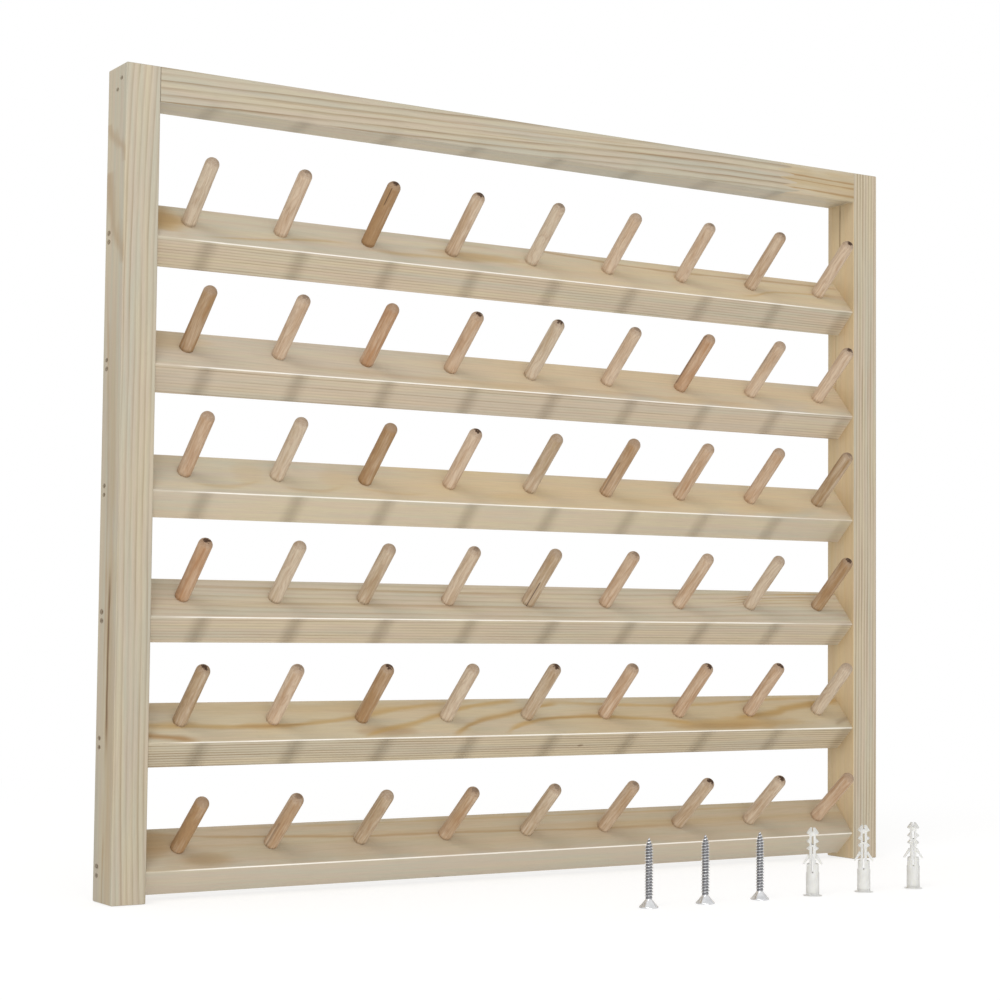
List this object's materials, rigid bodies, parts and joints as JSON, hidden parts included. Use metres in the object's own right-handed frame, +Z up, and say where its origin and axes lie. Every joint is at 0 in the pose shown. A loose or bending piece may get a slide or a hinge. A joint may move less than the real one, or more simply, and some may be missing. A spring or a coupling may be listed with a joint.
{
  "type": "thread rack",
  "caption": "Wall rack for spools of sewing thread: a wooden frame with sloping shelves of angled round pegs, with its loose wall screws and plugs.",
  "frame": {"origin": "on the floor that the uprights' feet stand on, under the middle of the whole set: midway between the outer faces of the uprights, and midway between the wall plane and the front of the loose plugs' flanges", "axes": "+X along the shelves to the right as seen from the front, +Y towards the wall, +Z up"},
  "size_m": [0.43, 0.1352, 0.364],
  "materials": {
    "pine": "bare planed softwood with fine straight grain",
    "peg_hardwood": "bare turned hardwood dowel",
    "brad_steel": "plain drawn wire",
    "plated_steel": "bright plated",
    "nylon": "translucent natural nylon"
  },
  "bodies": {
    "root": {"left_upright": "pine", "right_upright": "pine", "top_rail_left": "pine", "top_rail_right": "pine", "shelf_1": "pine", "pegs_row_1": "peg_hardwood", "brads_left_1": "brad_steel", "brads_right_1": "brad_steel", "shelf_2": "pine", "pegs_row_2": "peg_hardwood", "brads_left_2": "brad_steel", "brads_right_2": "brad_steel", "shelf_3": "pine", "pegs_row_3": "peg_hardwood", "brads_left_3": "brad_steel", "brads_right_3": "brad_steel", "shelf_4": "pine", "pegs_row_4": "peg_hardwood", "brads_left_4": "brad_steel", "brads_right_4": "brad_steel", "shelf_5": "pine", "pegs_row_5": "peg_hardwood", "brads_left_5": "brad_steel", "brads_right_5": "brad_steel", "shelf_6": "pine", "pegs_row_6": "peg_hardwood", "brads_left_6": "brad_steel", "brads_right_6": "brad_steel", "brads_left_rail": "brad_steel", "brads_right_rail": "brad_steel", "wall_screw_1": "plated_steel", "wall_plug_1": "nylon", "wall_screw_2": "plated_steel", "wall_plug_2": "nylon", "wall_screw_3": "plated_steel", "wall_plug_3": "nylon"}
  },
  "joints": []
}
